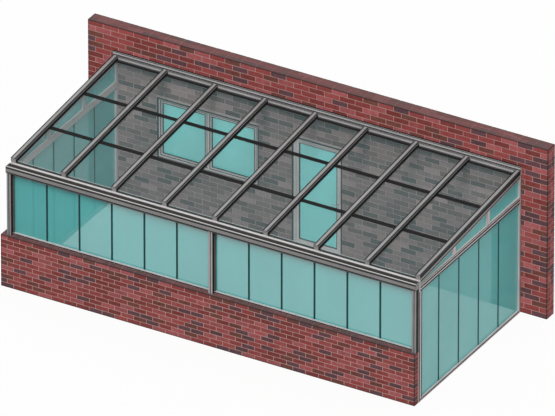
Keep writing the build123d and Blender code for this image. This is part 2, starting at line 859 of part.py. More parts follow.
def under_roof(x_range, out_range, bottom, drop):
    """An upright piece whose top follows the rafters' underside, lowered by drop."""
    out0, out1 = out_range
    points = [
        (out0, bottom),
        (out1, bottom),
        (out1, roof_underside(out1) - drop),
        (out0, roof_underside(out0) - drop),
    ]
    return section_along_x(points, x_range)


os.makedirs("parts", exist_ok=True)
house_wall()
house_window()
house_door()
low_wall()
write("corner_posts", post(post_places[0]), post(post_places[2]))
write("middle_post", post(post_places[1]))
front_units()
gutter()
rafters()
roof_glass()
ledger()
side_walls()
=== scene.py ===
"""Looks of a glazed lean-to veranda against a brick house wall. Metres, Z up, house at +Y."""

import math
import random

import bpy
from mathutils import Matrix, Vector


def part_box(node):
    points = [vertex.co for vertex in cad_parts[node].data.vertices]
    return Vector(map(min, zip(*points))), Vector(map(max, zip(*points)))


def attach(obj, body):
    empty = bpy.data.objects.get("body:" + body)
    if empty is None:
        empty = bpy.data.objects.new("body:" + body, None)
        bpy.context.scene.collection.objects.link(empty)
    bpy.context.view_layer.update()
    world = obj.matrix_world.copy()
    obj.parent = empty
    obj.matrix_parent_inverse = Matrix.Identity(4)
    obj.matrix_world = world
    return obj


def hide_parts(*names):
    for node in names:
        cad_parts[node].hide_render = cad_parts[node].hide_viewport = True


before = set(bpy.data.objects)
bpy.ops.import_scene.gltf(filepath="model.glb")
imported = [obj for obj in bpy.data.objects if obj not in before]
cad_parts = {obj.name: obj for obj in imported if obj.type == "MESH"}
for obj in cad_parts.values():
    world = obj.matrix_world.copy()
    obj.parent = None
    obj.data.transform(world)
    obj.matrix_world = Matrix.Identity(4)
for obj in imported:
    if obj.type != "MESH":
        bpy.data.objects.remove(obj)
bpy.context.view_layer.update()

# Brickwork: bricks are real blocks set slightly proud of the mortar behind them
JOINT = 0.010
MORTAR_RECESS = 0.005
BRICK_ARRIS = 0.004
BRICK_JITTER = 0.0015
SHORTEST_BRICK = 0.03
HOUSE_COURSES = 33
HOUSE_BRICKS_LONG = 30
LOW_COURSES = 12
LOW_BRICKS_LONG = 32.5
HOUSE_BRICK_TONE = 1.08
LOW_BRICK_TONE = 0.90

BRICK_SHADE_LEAST = 0.86
BRICK_SHADE_MOST = 1.14
FIRED_GLOW = (0.50, 0.17, 0.15, 1)
BRICK_SOOT = (0.05, 0.03, 0.03, 1)
BRICK_SOOT_MOST = 0.35
MOTTLE_STARTS, MOTTLE_FULL = 0.38, 0.66
SOOT_STARTS, SOOT_FULL = 0.60, 0.78

# Dark lines along the edges of the walls, and painted shade on their tops
WALL_LINE_WIDTH = 0.018
WALL_LINE_DARK = 0.85
WALL_LINE_COLOUR = (0.02, 0.015, 0.015, 1)
TOP_PAINTED_SHADE = 0.75
TOP_SHADE_COLOUR = (0.10, 0.06, 0.06, 1)

# Under the roof the bricks of the house are painted grey and darker: the shade and veil of the
# tinted roof glass painted onto them
PAINTED_GLASS_VEIL_SATURATION = 0.35
PAINTED_GLASS_VEIL_VALUE = 0.82
SHELTERED_DEPTH = 0.1

# Painted shade along the edges of the profiles and in their grooves, rain dust, painted light on
# the gutter's tops and painted shade on the rafters' shoulders
EDGE_WIDTH = 0.006
EDGE_SHADE_AMOUNT = 0.9
EDGE_SHADE_COLOUR = (0.01, 0.01, 0.01, 1)
EDGE_STARTS, EDGE_FULL = 0.98, 0.90
EDGE_SAMPLES = 6
RAIN_DUST = 0.18
RAIN_DUST_COLOUR = (0.36, 0.34, 0.33, 1)
TOP_PAINTED_LIGHT = 0.75
TOP_LIGHT_COLOUR = (0.78, 0.76, 0.76, 1)
SHOULDER_PAINTED_SHADE = 0.85
SHOULDER_SHADE_COLOUR = (0.02, 0.02, 0.02, 1)
COAT_METALLIC = 0.15

# Noise lies mostly between these two values
NOISE_LOW, NOISE_HIGH = 0.3, 0.7

# Rain streaks: where in the noise they lie, and how far they are drawn out downwards
STREAKS_START, STREAKS_FULL = 0.35, 0.75
STREAK_STRETCH = 0.06

# How far a face looks up where the painted light and shade on tops start, and where they are full
UPWARD_STARTS, UPWARD_FULL = 0.5, 0.9

# Panes: daylight passes them almost unveiled, so that the inside is light
LIGHT_VEIL = 0.12
VEIL_SPREAD = 0.01
PANE_GLOSS = 0.03
RAIN_MARK_GLOSS = 0.05
PANE_IOR = 1.45
PANE_SPECULAR = 0.25
SEAL_SPECULAR = 0.2

# Ahead of this depth the gutter's rubber is a line in its face, behind it the lining
GUTTER_FRONT_WALL = 0.02
WASHED_DIRT = (0.085, 0.08, 0.078, 1)

# Floor and light
FLOOR_REACH = 60.0
FLOOR_DROP = 0.001
FLOOR_DIM = ((0.36, 0.36, 0.36), (0.38, 0.38, 0.38))
FLOOR_PALE = ((0.93, 0.93, 0.93), (0.95, 0.95, 0.95))
FLOOR_GLOW = 0.85
FLOOR_ROUGHNESS = 0.9
WORLD_LEVEL = 0.40

# The drawing is a parallel view, so a very long lens stands far away
AIM = Vector((0.1094, 0.1829, 1.6796))
VIEW_TURN = math.radians(30)
VIEW_RISE = math.radians(30)
FRAME_WIDTH = 9.435
LENS = 1200
SENSOR = 36


# Meshes

def mesh_object(name, points, faces, material):
    """A new object made of the given points and faces."""
    mesh = bpy.data.meshes.new(name)
    mesh.from_pydata(points, [], faces)
    mesh.validate()
    mesh.update()
    mesh.materials.append(material)
    piece = bpy.data.objects.new(name, mesh)
    bpy.context.scene.collection.objects.link(piece)
    return piece


def brick_mesh(low, high, arris, points, faces):
    """Adds one brick with small chamfers on all its edges."""
    start = len(points)
    for axis in range(3):
        for corner in range(8):
            point = []
            for k in range(3):
                at_high = corner >> k & 1
                inset = 0 if k == axis else arris
                point.append(high[k] - inset if at_high else low[k] + inset)
            points.append(point)

    def at(axis, x, y, z):
        return start + axis * 8 + x + 2 * y + 4 * z

    for s in (0, 1):
        flat = [
            [at(0, s, 0, 0), at(0, s, 1, 0), at(0, s, 1, 1), at(0, s, 0, 1)],
            [at(1, 0, s, 0), at(1, 0, s, 1), at(1, 1, s, 1), at(1, 1, s, 0)],
            [at(2, 0, 0, s), at(2, 1, 0, s), at(2, 1, 1, s), at(2, 0, 1, s)],
        ]
        faces.extend(face if s else face[::-1] for face in flat)
    for s in (0, 1):
        for t in (0, 1):
            edges = [
                [at(0, s, t, 0), at(0, s, t, 1), at(1, s, t, 1), at(1, s, t, 0)],
                [at(1, 0, s, t), at(1, 1, s, t), at(2, 1, s, t), at(2, 0, s, t)],
                [at(2, s, 0, t), at(2, s, 1, t), at(0, s, 1, t), at(0, s, 0, t)],
            ]
            faces.extend(face[::-1] if s == t else face for face in edges)
    for x in (0, 1):
        for y in (0, 1):
            for z in (0, 1):
                face = [at(0, x, y, z), at(1, x, y, z), at(2, x, y, z)]
                faces.append(face if (x + y + z) % 2 else face[::-1])


def outside(run, gaps):
    """The parts of a run that lie outside the gaps."""
    parts = [run]
    for gap in gaps:
        kept = []
        for a, b in parts:
            if gap[1] <= a or gap[0] >= b:
                kept.append((a, b))
                continue
            if gap[0] > a:
                kept.append((a, gap[0]))
            if gap[1] < b:
                kept.append((gap[1], b))
        parts = kept
    return parts


def course_height(wall):
    """The height of one course with its joint."""
    return (wall["high"][2] - wall["low"][2]) / wall["courses"]


def brick_pitch(wall):
    """The length of one brick with its joint."""
    return (wall["high"][0] - wall["low"][0]) / wall["long"]


def course_bricks(wall, course, leaf):
    """The bricks of one course in one leaf of a wall, in running bond, cut at the openings."""
    low, high = wall["low"], wall["high"]
    height = course_height(wall)
    pitch = brick_pitch(wall)
    z0 = low[2] + course * height
    leaf_depth = (high[1] - low[1] - JOINT) / 2
    y0 = low[1] + leaf * (leaf_depth + JOINT)
    z_mid = z0 + height / 2
    y_mid = y0 + leaf_depth / 2
    gaps = [
        (a[0], b[0])
        for a, b in wall["openings"]
        if a[2] < z_mid < b[2] and a[1] < y_mid < b[1]
    ]
    shift = pitch / 2 if course % 2 else 0
    start = low[0] - shift
    while start < high[0]:
        run = (max(start, low[0]), min(start + pitch, high[0]))
        for a, b in outside(run, gaps):
            if b - a > SHORTEST_BRICK:
                yield (a, y0, z0), (b, y0 + leaf_depth, z0 + height)
        start += pitch


def at_end(x, ends):
    """Whether a brick's end is the end of the wall or the side of an opening."""
    return any(abs(x - end) < JOINT / 2 for end in ends)


def brickwork(name, wall, brick_material):
    """All bricks of a wall as one piece."""
    rng = random.Random(name)
    low, high = wall["low"], wall["high"]
    ends = [low[0], high[0]] + [e for a, b in wall["openings"] for e in (a[0], b[0])]
    points, faces = [], []
    for course in range(wall["courses"]):
        for leaf in (0, 1):
            for a, b in course_bricks(wall, course, leaf):
                a, b = list(a), list(b)
                a[0] += 0 if at_end(a[0], ends) else JOINT / 2
                b[0] -= 0 if at_end(b[0], ends) else JOINT / 2
                a[2] += 0 if course == 0 else JOINT / 2
                b[2] -= 0 if course == wall["courses"] - 1 else JOINT / 2
                sunk = rng.uniform(0, BRICK_JITTER)
                if leaf:
                    b[1] -= sunk
                else:
                    a[1] += sunk
                brick_mesh(a, b, BRICK_ARRIS, points, faces)
    piece = mesh_object(name, points, faces, brick_material)
    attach(piece, "veranda")
    return piece


def mortar(name, wall, mortar_material):
    """The mortar of a wall: one closed body just behind the bricks' faces, open at the openings."""
    low, high = wall["low"], wall["high"]
    inset = MORTAR_RECESS
    box_low = [low[0] + inset, low[1] + inset, low[2]]
    box_high = [high[k] - inset for k in range(3)]
    holes = []
    for a, b in wall["openings"]:
        holes.append((
            [max(a[k] - inset, box_low[k]) for k in range(3)],
            [min(b[k] + inset, box_high[k]) for k in range(3)],
        ))
    cuts = [
        sorted({box_low[k], box_high[k]} | {corner[k] for hole in holes for corner in hole})
        for k in range(3)
    ]

    def solid(cell):
        if any(c < 0 or c >= len(cuts[k]) - 1 for k, c in enumerate(cell)):
            return False
        middle = [(cuts[k][c] + cuts[k][c + 1]) / 2 for k, c in enumerate(cell)]
        return not any(all(a[k] < middle[k] < b[k] for k in range(3)) for a, b in holes)

    points, faces, index = [], [], {}

    def point(key):
        if key not in index:
            index[key] = len(points)
            points.append([cuts[k][c] for k, c in enumerate(key)])
        return index[key]

    for i in range(len(cuts[0]) - 1):
        for j in range(len(cuts[1]) - 1):
            for k in range(len(cuts[2]) - 1):
                cell = (i, j, k)
                if not solid(cell):
                    continue
                for axis in range(3):
                    for way in (0, 1):
                        beyond = list(cell)
                        beyond[axis] += 1 if way else -1
                        if solid(beyond):
                            continue
                        u, v = (axis + 1) % 3, (axis + 2) % 3
                        loop = []
                        for du, dv in ((0, 0), (1, 0), (1, 1), (0, 1)):
                            key = list(cell)
                            key[axis] += way
                            key[u] += du
                            key[v] += dv
                            loop.append(point(tuple(key)))
                        faces.append(loop if way else loop[::-1])
    piece = mesh_object(name, points, faces, mortar_material)
    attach(piece, "veranda")
    return piece


# Node helpers

class Nodes:
    """Short ways to add and link nodes in one tree."""

    def __init__(self, tree):
        self.tree = tree

    def add(self, kind, inputs=None, **settings):
        node = self.tree.nodes.new(kind)
        for key, value in settings.items():
            setattr(node, key, value)
        for key, value in (inputs or {}).items():
            self.feed(node.inputs[key], value)
        return node

    def feed(self, socket, value):
        if isinstance(value, bpy.types.NodeSocket):
            self.tree.links.new(value, socket)
        else:
            socket.default_value = value

    def math(self, operation, a, b=0.0, c=0.0):
        node = self.add("ShaderNodeMath", {0: a, 1: b, 2: c}, operation=operation)
        return node.outputs[0]

    def noise(self, vector, scale, detail=2.0):
        node = self.add("ShaderNodeTexNoise", {"Vector": vector, "Scale": scale, "Detail": detail})
        return node.outputs["Fac"]

    def span(self, value, low, high, to_low=0.0, to_high=1.0):
        node = self.add("ShaderNodeMapRange", {0: value, 1: low, 2: high, 3: to_low, 4: to_high})
        return node.outputs[0]

    def level(self, noise, low, high):
        """A value between two levels, led by a noise."""
        return self.span(noise, NOISE_LOW, NOISE_HIGH, low, high)

    def mix(self, factor, a, b, blend="MIX"):
        node = self.add("ShaderNodeMix", data_type="RGBA", blend_type=blend)
        self.feed(node.inputs[0], factor)
        self.feed(node.inputs[6], a)
        self.feed(node.inputs[7], b)
        return node.outputs[2]

    def ramp(self, factor, stops, interpolation="LINEAR"):
        node = self.add("ShaderNodeValToRGB", {"Fac": factor})
        band = node.color_ramp
        band.interpolation = interpolation
        while len(band.elements) < len(stops):
            band.elements.new(1.0)
        for element, (place, colour) in zip(band.elements, stops):
            element.position = place
            element.color = (*colour, 1)
        return node.outputs["Color"]

    def tint(self, noise, dark, light):
        """A colour between two tones, led by a noise."""
        return self.ramp(noise, [(NOISE_LOW, dark), (NOISE_HIGH, light)])

    def group(self, tree, inputs):
        node = self.add("ShaderNodeGroup")
        node.node_tree = tree
        for key, value in inputs.items():
            self.feed(node.inputs[key], value)
        return node.outputs


SOCKETS = {"F": "NodeSocketFloat", "V": "NodeSocketVector", "C": "NodeSocketColor"}


def shader_group(name, inputs, outputs, build):
    """A node group with named sockets; build gets the helper and the input sockets."""
    tree = bpy.data.node_groups.new(name, "ShaderNodeTree")
    for key, kind in inputs.items():
        tree.interface.new_socket(key, in_out="INPUT", socket_type=SOCKETS[kind])
    for key, kind in outputs.items():
        tree.interface.new_socket(key, in_out="OUTPUT", socket_type=SOCKETS[kind])
    nodes = Nodes(tree)
    into = nodes.add("NodeGroupInput")
    results = build(nodes, into.outputs)
    nodes.add("NodeGroupOutput", results)
    return tree


def build_brick_tones(n, given):
    """Numbers that differ from brick to brick, from where the brick lies in the bond."""
    split = n.add("ShaderNodeSeparateXYZ", {0: given["Place"]}).outputs
    course = n.math("FLOOR", n.math("DIVIDE", split[2], given["Course Height"]))
    odd = n.math("MODULO", course, 2.0)
    from_start = n.math("SUBTRACT", split[0], given["Bond Start"])
    along = n.math("DIVIDE", from_start, given["Brick Pitch"])
    column = n.math("FLOOR", n.math("MULTIPLY_ADD", odd, 0.5, along))
    leaf = n.math("GREATER_THAN", split[1], given["Leaf Joint"])
    cell = n.add("ShaderNodeCombineXYZ", {0: column, 1: leaf, 2: course}).outputs[0]
    tone = n.add("ShaderNodeTexWhiteNoise", {"Vector": cell}).outputs
    shade = n.add("ShaderNodeSeparateXYZ", {0: tone["Color"]}).outputs[1]
    return {"Kind": tone["Value"], "Shade": shade}


def build_grain(n, given):
    """Fine and coarse unevenness of a fired, cast or coated surface."""
    fine = n.noise(given["Place"], given["Fine Scale"], detail=4.0)
    coarse = n.noise(given["Place"], given["Coarse Scale"], detail=3.0)
    both = n.math("MULTIPLY_ADD", fine, 0.5, n.math("MULTIPLY", coarse, 0.5))
    return {"Fine": fine, "Coarse": coarse, "Both": both}


def build_streaks(n, given):
    """Faint upright runs left by rain."""
    drawn_out = (1.0, 1.0, STREAK_STRETCH)
    stretch = n.add("ShaderNodeMapping", {"Vector": given["Place"], "Scale": drawn_out})
    runs = n.noise(stretch.outputs[0], given["Scale"], detail=3.0)
    return {"Streaks": n.span(runs, STREAKS_START, STREAKS_FULL)}


def build_edge_line(n, given):
    """A mask along the edges of a profile and in its grooves, where shade is painted."""
    bevel = n.add("ShaderNodeBevel", {"Radius": given["Width"]}, samples=EDGE_SAMPLES)
    rounded = bevel.outputs[0]
    flat = n.add("ShaderNodeNewGeometry").outputs["True Normal"]
    likeness = n.add("ShaderNodeVectorMath", {0: rounded, 1: flat}, operation="DOT_PRODUCT")
    return {"Edge": n.span(likeness.outputs["Value"], EDGE_STARTS, EDGE_FULL)}


def build_upward(n, given):
    """A mask of the faces that look up, where light and shade are painted onto the tops."""
    normal = n.add("ShaderNodeNewGeometry").outputs["Normal"]
    up = n.add("ShaderNodeSeparateXYZ", {0: normal}).outputs[2]
    settled = n.span(up, UPWARD_STARTS, UPWARD_FULL)
    return {"Upward": n.math("MULTIPLY", settled, given["Amount"])}


def depth_in_box(n, given):
    """How deep a place lies between a box's faces, along each axis; below 0 is outside."""
    place, low, high = given["Place"], given["Low"], given["High"]
    above = n.add("ShaderNodeVectorMath", {0: place, 1: low}, operation="SUBTRACT")
    below = n.add("ShaderNodeVectorMath", {0: high, 1: place}, operation="SUBTRACT")
    nearest = n.add(
        "ShaderNodeVectorMath", {0: above.outputs[0], 1: below.outputs[0]}, operation="MINIMUM"
    )
    return n.add("ShaderNodeSeparateXYZ", {0: nearest.outputs[0]}).outputs


def build_sheltered(n, given):
    """A mask of what lies inside a box, for the stretch of wall under the roof, where the roof
    glass's shade is painted.
    """
    x, y, z = depth_in_box(n, given)
    return {"Sheltered": n.math("GREATER_THAN", n.math("MINIMUM", n.math("MINIMUM", x, y), z), 0.0)}


def build_wall_outline(n, given):
    """A mask along the outer edges of a wall, from how near two of its faces are."""
    x, y, z = depth_in_box(n, given)
    either = n.math("MINIMUM", n.math("MAXIMUM", x, y), z)
    middle = n.math("MAXIMUM", n.math("MINIMUM", x, y), either)
    return {"Outline": n.math("LESS_THAN", middle, given["Width"])}


BRICK_TONES = shader_group(
    "Brick tones",
    {"Place": "V", "Course Height": "F", "Brick Pitch": "F", "Bond Start": "F", "Leaf Joint": "F"},
    {"Kind": "F", "Shade": "F"},
    build_brick_tones,
)
GRAIN = shader_group(
    "Grain",
    {"Place": "V", "Fine Scale": "F", "Coarse Scale": "F"},
    {"Fine": "F", "Coarse": "F", "Both": "F"},
    build_grain,
)
RAIN_STREAKS = shader_group(
    "Rain streaks", {"Place": "V", "Scale": "F"}, {"Streaks": "F"}, build_streaks
)
EDGE_SHADE_MASK = shader_group("Edge line", {"Width": "F"}, {"Edge": "F"}, build_edge_line)
UPWARD = shader_group("Upward faces", {"Amount": "F"}, {"Upward": "F"}, build_upward)
SHELTERED = shader_group(
    "Sheltered stretch",
    {"Place": "V", "Low": "V", "High": "V"},
    {"Sheltered": "F"},
    build_sheltered,
)
WALL_OUTLINE = shader_group(
    "Wall outline",
    {"Place": "V", "Low": "V", "High": "V", "Width": "F"},
    {"Outline": "F"},
    build_wall_outline,
)


def new_material(name):
    """A material with one Principled shader, its node helper and the place on the object."""
    material = bpy.data.materials.new(name)
    material.use_nodes = True
    nodes = Nodes(material.node_tree)
    material.node_tree.nodes.clear()
    shader = nodes.add("ShaderNodeBsdfPrincipled")
    nodes.add("ShaderNodeOutputMaterial", {"Surface": shader.outputs[0]})
    place = nodes.add("ShaderNodeTexCoord").outputs["Object"]
    return material, nodes, shader, place


def bump(n, shader, height, strength, distance):
    """Small unevenness of the surface."""
    node = n.add("ShaderNodeBump", {"Height": height, "Strength": strength, "Distance": distance})
    n.feed(shader.inputs["Normal"], node.outputs[0])


# Brick and mortar

# Each tone takes the bricks from its number up to the next one's
BRICK_COLOURS = [
    (0.00, (0.270, 0.066, 0.062)),
    (0.22, (0.370, 0.120, 0.125)),
    (0.42, (0.200, 0.046, 0.040)),
    (0.60, (0.105, 0.058, 0.070)),
    (0.74, (0.300, 0.082, 0.078)),
    (0.87, (0.150, 0.058, 0.044)),
]


def brick(name, wall):
    """Fired brick: each block has its own tone, mottled and sooty in places."""
    material, n, shader, place = new_material(name)
    tones = n.group(BRICK_TONES, {
        "Place": place,
        "Course Height": course_height(wall),
        "Brick Pitch": brick_pitch(wall),
        "Bond Start": wall["low"][0],
        "Leaf Joint": (wall["low"][1] + wall["high"][1]) / 2,
    })
    grain = n.group(GRAIN, {"Place": place, "Fine Scale": 180.0, "Coarse Scale": 14.0})
    fired = n.ramp(tones["Kind"], BRICK_COLOURS, "CONSTANT")
    least, most = BRICK_SHADE_LEAST * wall["tone"], BRICK_SHADE_MOST * wall["tone"]
    shade = n.span(tones["Shade"], 0.0, 1.0, least, most)
    grey = n.add("ShaderNodeCombineColor", {0: shade, 1: shade, 2: shade}).outputs[0]
    fired = n.mix(1.0, fired, grey, "MULTIPLY")
    mottle = n.span(grain["Both"], MOTTLE_STARTS, MOTTLE_FULL)
    mottled = n.mix(mottle, fired, FIRED_GLOW, "SOFT_LIGHT")
    smoked = n.span(grain["Coarse"], SOOT_STARTS, SOOT_FULL, 0.0, BRICK_SOOT_MOST)
    sooty = n.mix(smoked, mottled, BRICK_SOOT)
    n.feed(shader.inputs["Base Color"], painted_shade_and_outline(n, place, wall, sooty))
    n.feed(shader.inputs["Roughness"], n.level(grain["Fine"], 0.78, 0.95))
    bump(n, shader, grain["Both"], strength=0.35, distance=0.002)
    return material


def painted_shade_and_outline(n, place, wall, colour):
    """Painted grey and darker under the roof as the tinted glass's shade, painted shade on upward
    faces, a dark line along the wall's outer edges.
    """
    low, high = wall["sheltered"]
    under_roof = n.group(SHELTERED, {"Place": place, "Low": low, "High": high})["Sheltered"]
    # Painted shade and veil of the tinted roof glass on the bricks under it
    greyed = n.add("ShaderNodeHueSaturation", {
        "Color": colour, "Saturation": PAINTED_GLASS_VEIL_SATURATION, "Value": PAINTED_GLASS_VEIL_VALUE,
    })
    colour = n.mix(under_roof, colour, greyed.outputs[0])
    # Upward faces painted dark: painted shade against the light from above
    upward = n.group(UPWARD, {"Amount": TOP_PAINTED_SHADE})["Upward"]
    topped = n.mix(upward, colour, TOP_SHADE_COLOUR)
    outline = n.group(WALL_OUTLINE, {
        "Place": place, "Low": wall["low"], "High": wall["high"], "Width": WALL_LINE_WIDTH,
    })["Outline"]
    return n.mix(n.math("MULTIPLY", outline, WALL_LINE_DARK), topped, WALL_LINE_COLOUR)


def mortar_joints(name, wall):
    """Sandy mortar, with the bricks' painted shade and edge line."""
    material, n, shader, place = new_material(name)
    grain = n.group(GRAIN, {"Place": place, "Fine Scale": 320.0, "Coarse Scale": 6.0})
    sand = n.tint(grain["Both"], (0.44, 0.24, 0.22), (0.62, 0.40, 0.37))
    n.feed(shader.inputs["Base Color"], painted_shade_and_outline(n, place, wall, sand))
    n.feed(shader.inputs["Roughness"], n.level(grain["Fine"], 0.85, 1.0))
    bump(n, shader, grain["Fine"], strength=0.5, distance=0.002)
    return material


# Aluminium, glass and seals

def powder_coat(name, dark, light, top_amount=0.0, top_colour=TOP_LIGHT_COLOUR):
    """Grey powder coat: very fine texture, faint rain streaks, painted shade along edges and in
    grooves, upward faces painted another tone as light or shade.
    """
    material, n, shader, place = new_material(name)
    grain = n.group(GRAIN, {"Place": place, "Fine Scale": 900.0, "Coarse Scale": 2.2})
    streaks = n.group(RAIN_STREAKS, {"Place": place, "Scale": 26.0})["Streaks"]
    coat = n.tint(grain["Coarse"], dark, light)
    dust_and_painted_tops = n.mix(n.math("MULTIPLY", streaks, RAIN_DUST), coat, RAIN_DUST_COLOUR)
    upward = n.group(UPWARD, {"Amount": top_amount})["Upward"]
    # Upward faces painted another tone: painted light on the gutter, painted shade on the rafters'
    # shoulders
    dust_and_painted_tops = n.mix(upward, dust_and_painted_tops, top_colour)
    # Painted shade along the profile's edges and in its grooves
    edge = n.group(EDGE_SHADE_MASK, {"Width": EDGE_WIDTH})["Edge"]
    lined = n.mix(n.math("MULTIPLY", edge, EDGE_SHADE_AMOUNT), dust_and_painted_tops, EDGE_SHADE_COLOUR)
    n.feed(shader.inputs["Base Color"], lined)
    n.feed(shader.inputs["Roughness"], n.level(grain["Fine"], 0.42, 0.60))
    shader.inputs["Metallic"].default_value = COAT_METALLIC
    bump(n, shader, grain["Fine"], strength=0.12, distance=0.0004)
    return material


def top_lit_coat(name, dark, light):
    """Powder coat whose upward faces are painted pale: a painted highlight of the light from above.
    """
    return powder_coat(name, dark, light, TOP_PAINTED_LIGHT)


def shoulder_shaded_coat(name, dark, light):
    """Powder coat whose upward faces, the shoulders beside the caps, are painted dark: the caps'
    shade painted on.
    """
    return powder_coat(name, dark, light, SHOULDER_PAINTED_SHADE, SHOULDER_SHADE_COLOUR)


def brushed(name):
    """Brushed steel: fine lines round the lever."""
    material, n, shader, place = new_material(name)
    lines = n.add("ShaderNodeMapping", {"Vector": place, "Scale": (20.0, 900.0, 900.0)})
    brush = n.noise(lines.outputs[0], scale=1.0, detail=3.0)
    n.feed(shader.inputs["Base Color"], n.tint(brush, (0.42, 0.42, 0.43), (0.62, 0.62, 0.64)))
    n.feed(shader.inputs["Roughness"], n.level(brush, 0.25, 0.42))
    shader.inputs["Metallic"].default_value = 1.0
    return material


def tinted_glass(name, dark, light, alpha):
    """Tinted pane: the tint veils what is behind it, with faint rain marks in the gloss."""
    material, n, shader, place = new_material(name)
    grain = n.group(GRAIN, {"Place": place, "Fine Scale": 60.0, "Coarse Scale": 0.9})
    streaks = n.group(RAIN_STREAKS, {"Place": place, "Scale": 9.0})["Streaks"]
    n.feed(shader.inputs["Base Color"], n.tint(grain["Coarse"], dark, light))
    gloss = n.math("MULTIPLY_ADD", streaks, RAIN_MARK_GLOSS, PANE_GLOSS)
    n.feed(shader.inputs["Roughness"], gloss)
    veil = n.span(streaks, 0.0, 1.0, alpha - VEIL_SPREAD, alpha + VEIL_SPREAD)
    path = n.add("ShaderNodeLightPath").outputs
    lighting = n.math("MAXIMUM", path["Is Shadow Ray"], path["Is Diffuse Ray"])
    kept = n.span(lighting, 0.0, 1.0, 1.0, LIGHT_VEIL)
    n.feed(shader.inputs["Alpha"], n.math("MULTIPLY", veil, kept))
    shader.inputs["IOR"].default_value = PANE_IOR
    shader.inputs["Specular IOR Level"].default_value = PANE_SPECULAR
    return material


def seal(name, dark, light):
    """Rubber seal: matt, slightly dusty."""
    material, n, shader, place = new_material(name)
    grain = n.group(GRAIN, {"Place": place, "Fine Scale": 500.0, "Coarse Scale": 8.0})
    n.feed(shader.inputs["Base Color"], n.ramp(grain["Both"], [(0.35, dark), (0.7, light)]))
    n.feed(shader.inputs["Roughness"], n.level(grain["Fine"], 0.6, 0.8))
    shader.inputs["Specular IOR Level"].default_value = SEAL_SPECULAR
    bump(n, shader, grain["Fine"], strength=0.2, distance=0.0005)
    return material


def lining(name, dark, light):
    """Rubber whose stretch inside the gutter is grey with dirt washed off the roof."""
    material = seal(name, dark, light)
    n = Nodes(material.node_tree)
    shader = [node for node in n.tree.nodes if node.type == "BSDF_PRINCIPLED"][0]
    place = [node for node in n.tree.nodes if node.type == "TEX_COORD"][0].outputs["Object"]
    across = n.add("ShaderNodeSeparateXYZ", {0: place}).outputs[1]
    inside = n.math("GREATER_THAN", across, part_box("gutter")[0][1] + GUTTER_FRONT_WALL)
    rubber = shader.inputs["Base Color"].links[0].from_socket
    n.feed(shader.inputs["Base Color"], n.mix(inside, rubber, WASHED_DIRT))
    return material


def dress(material, *names):
    """Gives CAD pieces their finish."""
    for name in names:
        for material_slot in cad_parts[name].material_slots:
            material_slot.material = material


# The two brick walls

wall_nodes = ("left", "under_window", "over_window", "between", "over_door", "right")
wall_boxes = [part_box(f"house_wall_{part}") for part in wall_nodes]
window_low, window_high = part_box("window_frame")
door_low, door_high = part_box("door_frame")
house_low = [min(low[k] for low, _ in wall_boxes) for k in range(3)]
house_high = [max(high[k] for _, high in wall_boxes) for k in range(3)]
ledger_low, ledger_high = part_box("wall_ledger")
house = {
    "sheltered": (
        [ledger_low[0], house_low[1] - SHELTERED_DEPTH, house_low[2]],
        [ledger_high[0], house_low[1] + SHELTERED_DEPTH, ledger_high[2]],
    ),
    "tone": HOUSE_BRICK_TONE,
    "low": house_low,
    "high": house_high,
    "courses": HOUSE_COURSES,
    "long": HOUSE_BRICKS_LONG,
    "openings": [
        (
            [window_low[0], house_low[1], window_low[2]],
            [window_high[0], house_high[1], window_high[2]],
        ),
        (
            [door_low[0], house_low[1], house_low[2]],
            [door_high[0], house_high[1], door_high[2]],
        ),
    ],
}
low_low, low_high = (list(corner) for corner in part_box("low_wall"))
notches = []
for side in ("left", "right"):
    jamb_low, jamb_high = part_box(f"{side}_side_jambs")
    notches.append((
        [jamb_low[0], jamb_low[1], low_low[2]],
        [jamb_high[0], low_high[1], low_high[2]],
    ))
low_wall = {
    # None of its bricks are greyed, so this box is turned inside out and holds nothing
    "sheltered": (low_high, low_low),
    "tone": LOW_BRICK_TONE,
    "low": low_low,
    "high": low_high,
    "courses": LOW_COURSES,
    "long": LOW_BRICKS_LONG,
    "openings": notches,
}

for name, wall, finish, replaced in (
    ("house_wall", house, "house_brick", [f"house_wall_{part}" for part in wall_nodes]),
    ("low_wall", low_wall, "low_wall_brick", ["low_wall"]),
):
    bricks = brickwork(f"{name}_bricks", wall, brick(finish, wall))
    bed = mortar(f"{name}_mortar", wall, mortar_joints(f"{name}_joints", wall))
    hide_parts(*replaced)
    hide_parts(*replaced)

# Finishes of the other pieces

both_sides = ("left", "right")
side_metal = [
    f"{side}_{part}"
    for side in both_sides
    for part in ("side_sill", "transom", "side_jambs", "gable_frame")
]
